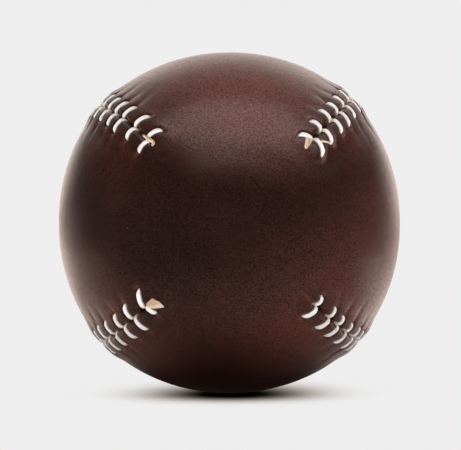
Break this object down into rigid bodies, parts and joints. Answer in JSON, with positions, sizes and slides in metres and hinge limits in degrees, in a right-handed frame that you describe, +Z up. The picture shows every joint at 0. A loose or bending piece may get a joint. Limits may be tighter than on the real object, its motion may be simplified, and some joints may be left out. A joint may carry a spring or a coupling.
{
  "type": "baseball",
  "caption": "Leather ball for throwing, catching and batting: a smooth slit cover laced shut along raised seams, over yarn windings and a rubber-cushioned cork centre.",
  "frame": {"origin": "middle of the ball", "axes": "+Z up, square to the small flat that the ball rests on; the smooth face of the cover looks along -Y and a little up, and the seams meet at the back, along +Y"},
  "size_m": [0.0728, 0.0737, 0.072],
  "materials": {
    "cork": "matte, granular",
    "black_rubber": "matte",
    "red_rubber": "matte",
    "grey_wool": "wound yarn",
    "white_wool": "wound yarn",
    "cotton": "fine wound thread",
    "leather": "waxed, soft sheen, darkened by handling",
    "waxed_thread": "waxed"
  },
  "bodies": {
    "root": {"cork_centre": "cork", "black_rubber_cup_front": "black_rubber", "black_rubber_cup_back": "black_rubber", "red_rubber_gasket": "red_rubber", "red_rubber_cup_front": "red_rubber", "red_rubber_cup_back": "red_rubber", "first_wool_winding": "grey_wool", "second_wool_winding": "white_wool", "third_wool_winding": "grey_wool", "cotton_finish_winding": "cotton", "leather_cover": "leather", "seam_thread_upper_right": "waxed_thread", "seam_thread_upper_left": "waxed_thread", "seam_thread_lower_left": "waxed_thread", "seam_thread_lower_right": "waxed_thread"}
  },
  "joints": []
}
